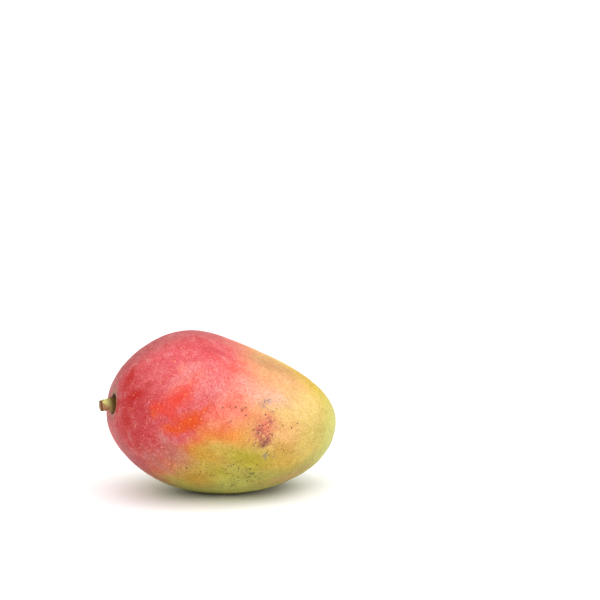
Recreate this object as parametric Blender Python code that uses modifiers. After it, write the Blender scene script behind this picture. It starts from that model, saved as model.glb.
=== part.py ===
"""A whole mango as picked, lying on one cheek, with the cut stub of its stem still in place.

Metres, +Z up. The fruit's long axis lies near X, with the stem end at -X and the tip at +X.
The origin is under the middle of the object, on the surface that it rests on.
"""

import math

import bmesh
import bpy
from mathutils import Matrix, Vector

# The fruit, in its own frame: X from stem end to tip, Y from the round back to the beak side
FRUIT_LENGTH = 0.1192
FRUIT_BREADTH = 0.0870
FRUIT_HEIGHT = 0.0776
HEIGHT_TAPER = -0.19
HEIGHT_TIP = 0.12
BREADTH_TAPER = -0.09
BREADTH_TIP = 0.02
BEND_DOWN = 0.0049
BEND_BACK = 0.0030
KEEL = 0.01

# The low swells of the skin: height, lobes round the fruit, turns per half length, start
SWELLS = (
    (0.00081, 2, 3.0, math.radians(-16)),
    (0.00063, 3, -4.0, math.radians(294)),
    (0.00061, 1, 6.0, math.radians(134)),
    (0.00016, 2, -7.0, math.radians(119)),
)

# The shallow hollow before the beak, as shares of the half length and as angles about the axis
SINUS_DEPTH = 0.0020
SINUS_AT = 0.52
SINUS_REACH = 0.20
SINUS_ANGLE = math.radians(38)
SINUS_SPREAD = math.radians(31.5)

# The beak, a low knob beside the tip
BEAK_HEIGHT = 0.0013
BEAK_AT = 0.93
BEAK_RADIUS = 0.0065
BEAK_LEAN = math.radians(37)

# The pit that the stem stands in
PIT_DEPTH = 0.0032
PIT_RADIUS = 0.0095

# How it lies: the tip dips, and its weight presses a small flat spot
REST_TILT = math.radians(9.1)
REST_SPOT_DEPTH = 0.0008

# The stem stub, measured outwards from the floor of the pit
STEM_LENGTH = 0.0073
STEM_ROOT = 0.0012
STEM_ROOT_RADIUS = 0.0036
STEM_COLLAR_RADIUS = 0.0040
STEM_COLLAR_TOP = 0.0009
STEM_FLARE_RADIUS = 0.0035
STEM_FLARE_TOP = 0.0018
STEM_NECK_RADIUS = 0.0032
STEM_NECK_TOP = 0.0031
STEM_SHAFT_RADIUS = 0.0029
STEM_SHAFT_TOP = 0.0051
STEM_CUT_RADIUS = 0.0028
STEM_CUT_BEVEL = 0.0003
STEM_CUT_DISH = 0.0004
STEM_DISH_RADIUS = 0.0017
STEM_DISH_EDGE = 0.0002
STEM_DIP = math.radians(5.4)
FIT_GAP = 0.0003

# How finely the solids are divided
SEGMENTS_ROUND = 84
RINGS_ALONG = 48
END_CROWDING = 0.2
STEM_STEPS = 40


def clear_scene():
    """Removes whatever the scene starts with."""
    for obj in list(bpy.data.objects):
        bpy.data.objects.remove(obj)


def new_collection(name):
    """Makes a collection in the scene."""
    made = bpy.data.collections.new(name)
    bpy.context.scene.collection.children.link(made)
    return made


def plain_material(name, colour, roughness):
    """Makes a Principled material of one colour."""
    made = bpy.data.materials.new(name)
    made.use_nodes = True
    shader = made.node_tree.nodes["Principled BSDF"]
    shader.inputs["Base Color"].default_value = (*colour, 1.0)
    shader.inputs["Roughness"].default_value = roughness
    shader.inputs["Metallic"].default_value = 0.0
    return made


def object_from(bm, name, collection, material=None):
    """Turns a bmesh into a smooth-shaded object of that name."""
    mesh = bpy.data.meshes.new(name)
    bm.to_mesh(mesh)
    bm.free()
    mesh.shade_smooth()
    obj = bpy.data.objects.new(name, mesh)
    if material:
        mesh.materials.append(material)
    collection.objects.link(obj)
    return obj


def bell(distance, width):
    """A smooth hump: 1 at no distance, fading out past the width."""
    return math.exp(-((distance / width) ** 2))


def oval(along, angle):
    """A point of the tapered, slightly bent oval that the fruit grows from.

    along runs from -1 at the stem end to 1 at the tip, and angle from the beak side upwards.
    """
    girth = math.sqrt(max(0.0, 1.0 - along * along))
    bend = along * (1.0 - along * along)
    breadth = FRUIT_BREADTH / 2 * girth * (1.0 + BREADTH_TAPER * along + BREADTH_TIP * along**3)
    height = FRUIT_HEIGHT / 2 * girth * (1.0 + HEIGHT_TAPER * along + HEIGHT_TIP * along**3)
    return Vector((
        FRUIT_LENGTH / 2 * along,
        breadth * math.cos(angle) - BEND_BACK * bend,
        height * math.sin(angle) * (1.0 - KEEL * math.cos(angle)) - BEND_DOWN * bend,
    ))


def skin_point(along, angle):
    """A point of the fruit's skin: the oval with its swells, its sinus, its beak and the pit."""
    girth = math.sqrt(max(0.0, 1.0 - along * along))
    outward = Vector((0.0, math.cos(angle), math.sin(angle)))
    swell = girth * sum(
        height * math.sin(lobes * angle + turns * along + start)
        for height, lobes, turns, start in SWELLS
    )
    turn = math.remainder(angle - SINUS_ANGLE, math.tau)
    sinus = SINUS_DEPTH * bell(along - SINUS_AT, SINUS_REACH) * bell(turn, SINUS_SPREAD)
    point = oval(along, angle) + outward * (swell - sinus)

    to_beak = (point - oval(BEAK_AT, SINUS_ANGLE)).length
    beak_way = Vector((
        math.cos(BEAK_LEAN),
        math.sin(BEAK_LEAN) * math.cos(SINUS_ANGLE),
        math.sin(BEAK_LEAN) * math.sin(SINUS_ANGLE),
    ))
    point += beak_way * BEAK_HEIGHT * bell(to_beak, BEAK_RADIUS)
    if along < 0.0:
        point.x += PIT_DEPTH * bell(math.hypot(point.y, point.z), PIT_RADIUS)
    return point


def fruit_bmesh():
    """A sphere shaped into the fruit, in its own frame, its rings drawn closer at both ends."""
    bm = bmesh.new()
    bmesh.ops.create_uvsphere(bm, u_segments=SEGMENTS_ROUND, v_segments=RINGS_ALONG, radius=1.0)
    for vert in bm.verts:
        angle = math.atan2(vert.co.y, vert.co.x)
        from_stem = math.acos(max(-1.0, min(1.0, -vert.co.z)))
        from_stem -= END_CROWDING * math.sin(2.0 * from_stem)
        vert.co = skin_point(-math.cos(from_stem), angle)
    return bm


def make_fruit(collection, material):
    """Tilts the fruit as it lies and cuts it flat where it rests, at z = 0."""
    bm = fruit_bmesh()
    bm.transform(Matrix.Rotation(REST_TILT, 4, "Y"))
    floor = min(vert.co.z for vert in bm.verts) + REST_SPOT_DEPTH

    cut = bmesh.ops.bisect_plane(
        bm,
        geom=bm.verts[:] + bm.edges[:] + bm.faces[:],
        plane_co=(0.0, 0.0, floor),
        plane_no=(0.0, 0.0, 1.0),
        clear_inner=True,
    )
    rim = [part for part in cut["geom_cut"] if isinstance(part, bmesh.types.BMEdge)]
    bmesh.ops.edgeloop_fill(bm, edges=rim)
    bmesh.ops.translate(bm, verts=bm.verts[:], vec=(0.0, 0.0, -floor))
    bmesh.ops.recalc_face_normals(bm, faces=bm.faces[:])
    return object_from(bm, "fruit", collection, material), -floor


def turned(name, profile, collection, material=None):
    """A profile of (radius, distance) points, top to bottom, turned about the object's Z."""
    bm = bmesh.new()
    verts = [bm.verts.new((radius, 0.0, distance)) for radius, distance in profile]
    for upper, lower in zip(verts, verts[1:]):
        bm.edges.new((upper, lower))
    obj = object_from(bm, name, collection, material)
    screw = obj.modifiers.new("turn", "SCREW")
    screw.steps = STEM_STEPS
    screw.render_steps = STEM_STEPS
    screw.use_merge_vertices = True
    screw.merge_threshold = 0.00001
    screw.use_smooth_shade = True
    return obj


def stem_profile():
    """The stub's outline: the dished cut, the shaft, the neck, the swollen collar and the root."""
    return (
        (0.0, STEM_LENGTH - STEM_CUT_DISH),
        (STEM_DISH_RADIUS, STEM_LENGTH - STEM_DISH_EDGE),
        (STEM_CUT_RADIUS - STEM_CUT_BEVEL, STEM_LENGTH),
        (STEM_CUT_RADIUS, STEM_LENGTH - STEM_CUT_BEVEL),
        (STEM_SHAFT_RADIUS, STEM_SHAFT_TOP),
        (STEM_NECK_RADIUS, STEM_NECK_TOP),
        (STEM_FLARE_RADIUS, STEM_FLARE_TOP),
        (STEM_COLLAR_RADIUS, STEM_COLLAR_TOP),
        (STEM_COLLAR_RADIUS, 0.0),
        (STEM_ROOT_RADIUS, -STEM_ROOT),
        (0.0, -STEM_ROOT),
    )


def socket_profile():
    """A plain cylinder round the stub's collar and root, with the gap that the two keep."""
    radius = STEM_COLLAR_RADIUS + FIT_GAP
    return (
        (0.0, STEM_LENGTH),
        (radius, STEM_LENGTH),
        (radius, -STEM_ROOT - FIT_GAP),
        (0.0, -STEM_ROOT - FIT_GAP),
    )


def stand_in_pit(obj, lift):
    """Puts a turned piece at the pit's floor, its axis pointing out of the stem end."""
    pit_floor = Matrix.Rotation(REST_TILT, 3, "Y") @ skin_point(-1.0, 0.0)
    obj.location = pit_floor + Vector((0.0, 0.0, lift))
    obj.rotation_euler = (0.0, -(math.pi / 2 + STEM_DIP), 0.0)


def cut_socket(fruit, socket):
    """Opens the place in the fruit that the stub's root fills."""
    socket.hide_render = True
    socket.display_type = "WIRE"
    cut = fruit.modifiers.new("socket", "BOOLEAN")
    cut.operation = "DIFFERENCE"
    cut.object = socket


def centre_on_origin(measured, moved):
    """Moves the objects so that the measured ones stand over the origin."""
    bpy.context.view_layer.update()
    graph = bpy.context.evaluated_depsgraph_get()
    corners = []
    for obj in measured:
        shown = obj.evaluated_get(graph)
        corners += [shown.matrix_world @ vert.co for vert in shown.data.vertices]
    middle = [(min(c[i] for c in corners) + max(c[i] for c in corners)) / 2 for i in (0, 1)]
    for obj in moved:
        obj.location -= Vector((*middle, 0.0))


def main():
    """Builds the fruit and its stem, and stands them over the origin."""
    clear_scene()
    pieces = new_collection("mango")
    cutters = new_collection("cutters")
    skin = plain_material("skin", (0.78, 0.26, 0.14), 0.42)
    bark = plain_material("bark", (0.42, 0.34, 0.16), 0.8)

    fruit, lift = make_fruit(pieces, skin)
    stem = turned("stem", stem_profile(), pieces, bark)
    socket = turned("stem_socket", socket_profile(), cutters)
    stand_in_pit(stem, lift)
    stand_in_pit(socket, lift)
    cut_socket(fruit, socket)
    centre_on_origin((fruit, stem), (fruit, stem, socket))


main()
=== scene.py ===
"""A whole mango lying on one cheek, with the cut stub of its stem, in a plain white studio.

Lengths are in metres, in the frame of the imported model: +X runs towards the tip, +Z is up, and
the origin is under the middle of the object. The fruit's own frame has X along its core.
"""

import logging
import math
from dataclasses import dataclass, field
from enum import Enum
from typing import Any, Union

import bpy
import numpy as np
from mathutils import Matrix, Vector


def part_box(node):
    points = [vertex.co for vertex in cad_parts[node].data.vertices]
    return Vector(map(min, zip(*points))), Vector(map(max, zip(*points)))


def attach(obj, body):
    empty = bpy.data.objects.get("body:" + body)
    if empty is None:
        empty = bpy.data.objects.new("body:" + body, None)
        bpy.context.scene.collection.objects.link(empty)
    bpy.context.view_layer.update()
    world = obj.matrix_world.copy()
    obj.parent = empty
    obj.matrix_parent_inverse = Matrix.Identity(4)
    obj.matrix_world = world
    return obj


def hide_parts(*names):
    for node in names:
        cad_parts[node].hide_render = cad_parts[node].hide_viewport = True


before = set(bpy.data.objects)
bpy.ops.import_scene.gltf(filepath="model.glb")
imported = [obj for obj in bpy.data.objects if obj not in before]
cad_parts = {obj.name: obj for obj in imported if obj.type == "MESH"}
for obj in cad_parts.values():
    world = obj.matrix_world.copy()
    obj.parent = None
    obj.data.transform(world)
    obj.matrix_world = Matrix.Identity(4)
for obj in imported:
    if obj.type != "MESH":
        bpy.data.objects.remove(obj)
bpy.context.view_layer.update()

LOG = logging.getLogger("mango")
BODY = "root"
MM = 0.001
MERIDIAN_RADIUS = 0.040
FIT_RINGS = 361
FIT_SEGMENTS = 720

Array = np.ndarray
Colour = tuple[float, float, float]
Span = tuple[float, float]
Socket = bpy.types.NodeSocket


def bell(distance: Array, width: float) -> Array:
    """A smooth hump: 1 at no distance, fading out past the width."""
    return np.exp(-((distance / width) ** 2))


def unit(vectors: Array) -> Array:
    """The same directions, each with a length of 1."""
    return vectors / np.linalg.norm(vectors, axis=-1, keepdims=True)


def ease(share: Array) -> Array:
    """Goes from 0 to 1 with a level start and end: three squares less two cubes."""
    held = np.clip(share, 0.0, 1.0)
    return held * held * (3.0 - 2.0 * held)


def rounded_mesh(name: str, rings: Array) -> bpy.types.Object:
    """Closes a grid of rings into a mesh, from the first pole to the last.

    Ring i and ring i + 1 are joined by quads, and the poles to their next rings by triangles.

    Args:
        name: the piece's name.
        rings: points of shape (rings, segments, 3). The first and last ring are poles, of which
            only the first point is used. The rings turn to the right as they go on.

    Returns:
        The smooth-shaded object, at the origin, with its faces pointing out.
    """
    count, segments, _ = rings.shape
    inner = rings[1:-1].reshape(-1, 3)
    points = np.concatenate((rings[0, :1], inner, rings[-1, :1]))

    here = np.arange(segments)
    after = (here + 1) % segments
    row = 1 + segments * np.arange(count - 3)[:, None]
    quads = np.stack((row + here, row + after, row + segments + after, row + segments + here), -1)
    final = len(points) - 1
    last_row = final - segments
    first_cap = np.stack((np.zeros_like(here), 1 + after, 1 + here), -1)
    last_cap = np.stack((np.full_like(here, final), last_row + here, last_row + after), -1)

    mesh = bpy.data.meshes.new(name)
    faces = quads.reshape(-1, 4).tolist() + first_cap.tolist() + last_cap.tolist()
    mesh.from_pydata(points.tolist(), [], faces)
    mesh.flip_normals()
    mesh.shade_smooth()
    mesh.update()
    piece = bpy.data.objects.new(name, mesh)
    bpy.context.scene.collection.objects.link(piece)
    return piece


@dataclass(frozen=True)
class Ripple:
    """A fine relief made of many weak waves that run every way, so that none can be seen."""

    height: float
    shortest: float
    longest: float
    waves: int
    seed: int

    def at(self, points: Array) -> Array:
        """The relief's height at each point: the sum of the waves, sin(direction . point).

        Args:
            points: any array of points, of shape (..., 3).

        Returns:
            Heights of shape (...), mostly between plus and minus the relief's height.
        """
        draw = np.random.default_rng(self.seed)
        ways = unit(draw.normal(size=(self.waves, 3)))
        lengths = draw.uniform(self.shortest, self.longest, self.waves)
        starts = draw.uniform(0.0, math.tau, self.waves)
        phases = points @ (ways * (math.tau / lengths)[:, None]).T + starts
        return self.height * np.sin(phases).sum(-1) / math.sqrt(self.waves)


@dataclass(frozen=True)
class Swell:
    """A low swell that winds round the fruit: sin(lobes * angle + turns * along + start)."""

    height: float
    lobes: int
    turns: float
    start: float

    def at(self, along: Array, angle: Array) -> Array:
        """The swell's height at each place."""
        return self.height * np.sin(self.lobes * angle + self.turns * along + self.start)


@dataclass(frozen=True)
class MangoForm:
    """The fruit's form in its own frame: X from the stem end to the tip, Y to the beak side.

    It is the form that the solid has. A place on it is given by along, from -1 at the stem end
    to 1 at the tip, and by the angle from the beak side upwards. style_at is where the flower's
    style stood, at the sinus's angle.
    """

    length: float = 0.1192
    breadth: float = 0.0870
    height: float = 0.0776
    height_taper: float = -0.19
    height_tip: float = 0.12
    breadth_taper: float = -0.09
    breadth_tip: float = 0.02
    bend_down: float = 0.0049
    bend_back: float = 0.0030
    keel: float = 0.01
    swells: tuple[Swell, ...] = (
        Swell(0.00081, 2, 3.0, math.radians(-16)),
        Swell(0.00063, 3, -4.0, math.radians(294)),
        Swell(0.00061, 1, 6.0, math.radians(134)),
        Swell(0.00016, 2, -7.0, math.radians(119)),
    )
    sinus_depth: float = 0.0020
    sinus_at: float = 0.52
    sinus_reach: float = 0.20
    sinus_angle: float = math.radians(38)
    sinus_spread: float = math.radians(31.5)
    beak_height: float = 0.0013
    beak_at: float = 0.93
    beak_radius: float = 0.0065
    beak_lean: float = math.radians(37)
    style_at: float = 0.95
    pit_depth: float = 0.0032
    pit_radius: float = 0.0095

    def oval(self, along: Array, angle: Array) -> Array:
        """The tapered, slightly bent oval that the fruit grows from.

        Across, it is an ellipse whose two half widths go as the root of 1 - along squared, times
        a cubic taper. Its centre moves down and back by along - along cubed.

        Args:
            along: places along the fruit.
            angle: angles round it, of the same shape or one that goes with it.

        Returns:
            Points of shape (..., 3).
        """
        along, angle = np.broadcast_arrays(along, angle)
        girth = np.sqrt(np.maximum(0.0, 1.0 - along * along))
        bend = along * (1.0 - along * along)
        wide = girth * (1.0 + self.breadth_taper * along + self.breadth_tip * along**3)
        high = girth * (1.0 + self.height_taper * along + self.height_tip * along**3)
        lean = 1.0 - self.keel * np.cos(angle)
        return np.stack(
            (
                self.length / 2 * along,
                self.breadth / 2 * wide * np.cos(angle) - self.bend_back * bend,
                self.height / 2 * high * np.sin(angle) * lean - self.bend_down * bend,
            ),
            axis=-1,
        )

    def skin(self, along: Array, angle: Array) -> Array:
        """The skin: the oval with its swells, its sinus, its beak and the pit.

        The sinus is a bell-shaped hollow along and round the fruit, the beak a bell-shaped knob
        beside the tip, and the pit a bell-shaped hollow round the stem.

        Args:
            along: places along the fruit.
            angle: angles round it, of the same shape or one that goes with it.

        Returns:
            Points of shape (..., 3).
        """
        along, angle = np.broadcast_arrays(along, angle)
        girth = np.sqrt(np.maximum(0.0, 1.0 - along * along))
        swell = girth * sum(each.at(along, angle) for each in self.swells)
        turn = np.remainder(angle - self.sinus_angle + math.pi, math.tau) - math.pi
        sinus = bell(along - self.sinus_at, self.sinus_reach) * bell(turn, self.sinus_spread)
        across = np.stack((np.zeros_like(angle), np.cos(angle), np.sin(angle)), axis=-1)
        points = self.oval(along, angle) + (swell - self.sinus_depth * sinus)[..., None] * across

        root = self.oval(np.array(self.beak_at), np.array(self.sinus_angle))
        near = bell(np.linalg.norm(points - root, axis=-1), self.beak_radius)
        points += self.beak_height * near[..., None] * self.beak_way()
        pit = bell(np.hypot(points[..., 1], points[..., 2]), self.pit_radius)
        points[..., 0] += np.where(along < 0.0, self.pit_depth * pit, 0.0)
        return points

    def beak_way(self) -> Array:
        """The direction that the beak points in."""
        aside = math.sin(self.beak_lean)
        return np.array((
            math.cos(self.beak_lean),
            aside * math.cos(self.sinus_angle),
            aside * math.sin(self.sinus_angle),
        ))

    def outward(self, points: Array) -> Array:
        """About the skin's normals: those of the plain ellipsoid through each point."""
        halves = np.array((self.length, self.breadth, self.height)) / 2
        return unit(points / halves**2)

    def seat(self, along: float, angle: float) -> Matrix:
        """The frame of a place on the skin: X along the fruit, Z outwards, at the place itself."""
        step = 0.001
        centre = self.skin(np.array(along), np.array(angle))
        ahead = unit(self.skin(np.array(along + step), np.array(angle)) - centre)
        beside = unit(self.skin(np.array(along), np.array(angle + step)) - centre)
        out = unit(np.cross(beside, ahead))
        axes = np.stack((ahead, np.cross(out, ahead), out), axis=-1)
        return Matrix.Translation(centre) @ Matrix(axes.tolist()).to_4x4()


@dataclass(frozen=True)
class Lie:
    """How the fruit lies: its tip dips, and its shift puts it where the solid is."""

    tilt: float
    shift: Vector
    press: float = 0.15 * MM

    @classmethod
    def of_solid(cls, form: MangoForm, tilt: float = math.radians(9.1)) -> "Lie":
        """Finds the shift that brings the tilted form into the solid's box.

        Args:
            form: the fruit's form.
            tilt: how far the tip dips, as in the solid.

        Returns:
            The lie, with the form's middle over the solid's and their tops level.
        """
        along = -np.cos(np.linspace(0.0, math.pi, FIT_RINGS))[:, None]
        angle = np.linspace(0.0, math.tau, FIT_SEGMENTS, endpoint=False)[None]
        turn = np.array(Matrix.Rotation(tilt, 3, "Y"))
        points = (form.skin(along, angle) @ turn.T).reshape(-1, 3)
        low, high = (np.array(corner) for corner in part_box("fruit"))
        shift = (low + high) / 2 - (points.min(0) + points.max(0)) / 2
        shift[2] = high[2] - points[:, 2].max()
        return cls(tilt, Vector(shift))

    def matrix(self) -> Matrix:
        """Takes the fruit's own frame to the model's."""
        return Matrix.Translation(self.shift) @ Matrix.Rotation(self.tilt, 4, "Y")

    def settle(self, points: Array) -> Array:
        """Takes points to the model's frame and presses them flat where the fruit rests.

        Height becomes 0 below minus the press, stays as it is above the press, and bends
        between the two by (height + press) squared over 4 presses.

        Args:
            points: points of the fruit's own frame, of shape (..., 3).

        Returns:
            Points of the model's frame, none of them below the ground.
        """
        matrix = np.array(self.matrix())
        placed = points @ matrix[:3, :3].T + matrix[:3, 3]
        height = placed[..., 2]
        bent = (np.maximum(0.0, height + self.press)) ** 2 / (4 * self.press)
        placed[..., 2] = np.where(height > self.press, height, bent)
        return placed


class Blend(Enum):
    """The ways in which one colour is laid over another."""

    COVER = "MIX"
    GLAZE = "MULTIPLY"
    LIGHTEN = "SCREEN"
    SOFTEN = "SOFT_LIGHT"


class Value:
    """A number that varies over the surface. An expression on it adds its Math nodes."""

    def __init__(self, bench: "Bench", socket: Socket) -> None:
        """Wraps an output socket of one of the bench's nodes."""
        self.bench = bench
        self.socket = socket

    def __add__(self, other: "Number") -> "Value":
        """self + other."""
        return self.bench.maths("ADD", self, other)

    def __radd__(self, other: float) -> "Value":
        """other + self."""
        return self.bench.maths("ADD", other, self)

    def __sub__(self, other: "Number") -> "Value":
        """self - other."""
        return self.bench.maths("SUBTRACT", self, other)

    def __rsub__(self, other: float) -> "Value":
        """other - self."""
        return self.bench.maths("SUBTRACT", other, self)

    def __mul__(self, other: "Number") -> "Value":
        """self * other."""
        return self.bench.maths("MULTIPLY", self, other)

    def __rmul__(self, other: float) -> "Value":
        """other * self."""
        return self.bench.maths("MULTIPLY", other, self)

    def at_least(self, other: "Number") -> "Value":
        """The larger of the two."""
        return self.bench.maths("MAXIMUM", self, other)

    def ramp(self, start: "Number", end: "Number") -> "Value":
        """Goes smoothly from 0 at the start to 1 at the end, which may lie below the start."""
        settings = {"interpolation_type": "SMOOTHSTEP"}
        inputs = {"Value": self, "From Min": start, "From Max": end}
        return Value(self.bench, self.bench.node("MapRange", settings, inputs).outputs[0])


Number = Union[Value, float]


@dataclass(frozen=True)
class Clouds:
    """Noise, by the size of its clouds in millimetres, its finer layers and their weight."""

    size: float
    detail: float = 3.0
    rough: float = 0.6


@dataclass(frozen=True)
class Drift:
    """How coordinates are moved about: by clouds of a size, as far as a reach, in millimetres."""

    cloud: float
    reach: float


class Bench:
    """The node tree of one material or world, and the ways of adding to it."""

    def __init__(self, owner: Union[bpy.types.Material, bpy.types.World]) -> None:
        """Empties the owner's node tree."""
        owner.use_nodes = True
        self.owner = owner
        self.tree = owner.node_tree
        self.tree.nodes.clear()

    def node(self, kind: str, settings: dict[str, Any], inputs: dict[Any, Any]) -> bpy.types.Node:
        """Adds a node.

        Args:
            kind: the node's type, without ShaderNode in front.
            settings: the node's own settings, which are set first.
            inputs: what goes into its sockets, by name or number: a Value or a socket is linked,
                and a number, a vector or a colour is set.

        Returns:
            The new node.
        """
        made = self.tree.nodes.new("ShaderNode" + kind)
        for key, setting in settings.items():
            setattr(made, key, setting)
        for key, given in inputs.items():
            socket = made.inputs[key]
            if isinstance(given, Value):
                self.tree.links.new(given.socket, socket)
            elif isinstance(given, Socket):
                self.tree.links.new(given, socket)
            elif socket.type == "RGBA":
                socket.default_value = (*given, 1.0)
            else:
                socket.default_value = given
        return made

    def maths(self, operation: str, first: Number, second: Number) -> Value:
        """Adds a Math node on two numbers."""
        made = self.node("Math", {"operation": operation}, {0: first, 1: second})
        return Value(self, made.outputs[0])

    def vectors(self, operation: str, inputs: dict[Any, Any]) -> bpy.types.Node:
        """Adds a Vector Math node."""
        return self.node("VectorMath", {"operation": operation}, inputs)

    def place(self, matrix: Matrix) -> Socket:
        """The surface's coordinates as seen from a frame that stands in the model's."""
        start = self.node("TexCoord", {}, {}).outputs["Object"]
        return self.seen_from(start, matrix, Vector((1.0, 1.0, 1.0)))

    def seen_from(self, vector: Socket, matrix: Matrix, scale: Vector) -> Socket:
        """Takes a vector into the frame that the matrix stands for, and divides by the scale."""
        inputs = {
            "Vector": vector,
            "Location": matrix.to_translation(),
            "Rotation": matrix.to_euler(),
            "Scale": scale,
        }
        return self.node("Mapping", {"vector_type": "TEXTURE"}, inputs).outputs[0]

    def stretched(self, vector: Socket, scale: Colour) -> Socket:
        """The vector times a scale for each axis."""
        return self.vectors("MULTIPLY", {0: vector, 1: scale}).outputs[0]

    def parts(self, vector: Socket) -> tuple[Value, Value, Value]:
        """The vector's three numbers."""
        split = self.node("SeparateXYZ", {}, {0: vector})
        return tuple(Value(self, socket) for socket in split.outputs)

    def length(self, vector: Socket) -> Value:
        """How long the vector is."""
        return Value(self, self.vectors("LENGTH", {0: vector}).outputs["Value"])

    def reach(self, across: Value, aside: Value) -> Value:
        """How far away two numbers reach at right angles: the root of their squares' sum."""
        return self.maths("SQRT", across * across + aside * aside, 0.0)

    def noise(self, vector: Socket, clouds: "Clouds") -> Value:
        """Cloudy noise round 0.5."""
        inputs = {
            "Vector": vector,
            "Scale": 1.0 / (clouds.size * MM),
            "Detail": clouds.detail,
            "Roughness": clouds.rough,
        }
        return Value(self, self.node("TexNoise", {}, inputs).outputs[0])

    def wander(self, vector: Socket, drift: "Drift") -> Socket:
        """Moves the vector about by the drift's clouds, by up to about half its reach."""
        inputs = {"Vector": vector, "Scale": 1.0 / (drift.cloud * MM), "Detail": 2.0}
        clouds = self.node("TexNoise", {}, inputs).outputs["Color"]
        centred = self.vectors("SUBTRACT", {0: clouds, 1: (0.5, 0.5, 0.5)}).outputs[0]
        moved = self.vectors("SCALE", {0: centred, "Scale": drift.reach * MM}).outputs[0]
        return self.vectors("ADD", {0: vector, 1: moved}).outputs[0]

    def meridian(self, vector: Socket, pace: float) -> Socket:
        """Coordinates for strokes that run lengthwise and draw together at both ends.

        They are the direction away from the core, at the reach of a mean radius, with the place
        along the core added at a slower pace.

        Args:
            vector: coordinates with X along the core.
            pace: how fast they change along the core, beside round it.

        Returns:
            The coordinates, in metres.
        """
        aside = self.vectors("MULTIPLY", {0: vector, 1: (0.0, 1.0, 1.0)}).outputs[0]
        way = self.vectors("NORMALIZE", {0: aside}).outputs[0]
        round_it = self.vectors("SCALE", {0: way, "Scale": MERIDIAN_RADIUS}).outputs[0]
        slow = self.vectors("MULTIPLY", {0: vector, 1: (pace, 0.0, 0.0)}).outputs[0]
        return self.vectors("ADD", {0: round_it, 1: slow}).outputs[0]

    def dots(self, vector: Socket, spacing: float) -> tuple[Value, Value]:
        """Scattered dots.

        Args:
            vector: the coordinates to scatter them in.
            spacing: about how far apart they are, in millimetres.

        Returns:
            The distance to the nearest dot in metres, and a random number for that dot.
        """
        apart = spacing * MM
        made = self.node("TexVoronoi", {}, {"Vector": vector, "Scale": 1.0 / apart})
        random = self.node("SeparateColor", {}, {0: made.outputs["Color"]}).outputs[0]
        return Value(self, made.outputs["Distance"]) * apart, Value(self, random)

    def lay(self, under: Any, over: Any, amount: Number, blend: Blend = Blend.COVER) -> Socket:
        """Lays one colour over another.

        Args:
            under: the colour below, as a socket or as three numbers.
            over: the colour on top, likewise.
            amount: how much of it shows, from 0 to 1.
            blend: how it is laid.

        Returns:
            The mixed colour.
        """
        settings = {"data_type": "RGBA", "blend_type": blend.value, "clamp_factor": True}
        return self.node("Mix", settings, {0: amount, 6: under, 7: over}).outputs[2]

    def finish(self, shader: dict[str, Any], relief: Value, strength: float, depth: float) -> None:
        """Ends the material in a Principled shader with a Bump.

        Args:
            shader: what goes into the Principled shader's sockets.
            relief: the height that the bump follows.
            strength: how strongly it does, from 0 to 1.
            depth: the height in metres that one unit of relief stands for.
        """
        inputs = {"Height": relief, "Strength": strength, "Distance": depth}
        bump = self.node("Bump", {}, inputs).outputs[0]
        surface = self.node("BsdfPrincipled", {}, {**shader, "Normal": bump}).outputs[0]
        self.node("OutputMaterial", {}, {"Surface": surface})


class Tint(Enum):
    """The colours of the skin and its marks, as linear red, green and blue."""

    ROSE = (0.56, 0.080, 0.090)
    PINK = (0.66, 0.150, 0.145)
    CRIMSON = (0.43, 0.032, 0.033)
    WINE = (0.42, 0.018, 0.016)
    SCARLET = (0.66, 0.052, 0.032)
    VERMILION = (0.62, 0.068, 0.013)
    CORAL = (0.72, 0.170, 0.126)
    ORANGE = (0.66, 0.185, 0.038)
    PEACH = (0.64, 0.290, 0.165)
    APRICOT = (0.65, 0.335, 0.162)
    GOLD = (0.47, 0.240, 0.030)
    TAN = (0.46, 0.215, 0.105)
    OCHRE = (0.53, 0.310, 0.060)
    YELLOW = (0.62, 0.430, 0.120)
    CREAM = (0.63, 0.455, 0.195)
    SUN = (0.54, 0.370, 0.036)
    LIME = (0.50, 0.480, 0.128)
    GREEN = (0.37, 0.305, 0.026)
    MOSS = (0.34, 0.310, 0.066)
    OLIVE = (0.26, 0.220, 0.060)
    MAUVE = (0.42, 0.150, 0.120)
    # The pale bloom, and a painted highlight where it is laid on the lit front.
    BLOOM_AND_HIGHLIGHT = (0.64, 0.340, 0.300)
    # Painted shade, laid over the top and the lower edge near the stem end.
    PAINTED_SHADE = (0.36, 0.070, 0.068)
    # A painted grey sheen and painted shade for the rim.
    RIM_SHEEN_AND_SHADE = (0.33, 0.115, 0.105)
    PORE = (0.80, 0.340, 0.130)
    BRICK = (0.58, 0.125, 0.092)
    BRUISE = (0.30, 0.056, 0.066)
    RUSSET = (0.33, 0.160, 0.045)
    PLUM = (0.15, 0.045, 0.060)
    SLATE = (0.14, 0.125, 0.155)
    UMBER = (0.13, 0.070, 0.030)
    PEAT = (0.085, 0.080, 0.024)
    CORK = (0.30, 0.200, 0.110)
    SCAR = (0.060, 0.016, 0.004)


@dataclass(frozen=True)
class Wash:
    """A soft patch of colour on the skin.

    Its place is given as on the form, with the angle in degrees. long and wide are half its
    reach in millimetres, and turn is how far its length leans from the fruit's, anticlockwise.
    """

    tint: Tint
    along: float
    angle: float
    long: float
    wide: float
    turn: float = 0.0
    strength: float = 1.0
    core: float = 0.0

    def mask(self, bench: Bench, place: Socket, form: MangoForm) -> Value:
        """How strongly the wash shows: its strength in its core, fading out to its reach."""
        lean = Matrix.Rotation(math.radians(self.turn), 4, "Z")
        seat = form.seat(self.along, math.radians(self.angle)) @ lean
        reach = Vector((self.long, self.wide, max(self.long, self.wide))) * MM
        distance = bench.length(bench.seen_from(place, seat, reach))
        return distance.ramp(1.0, self.core) * self.strength


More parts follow.
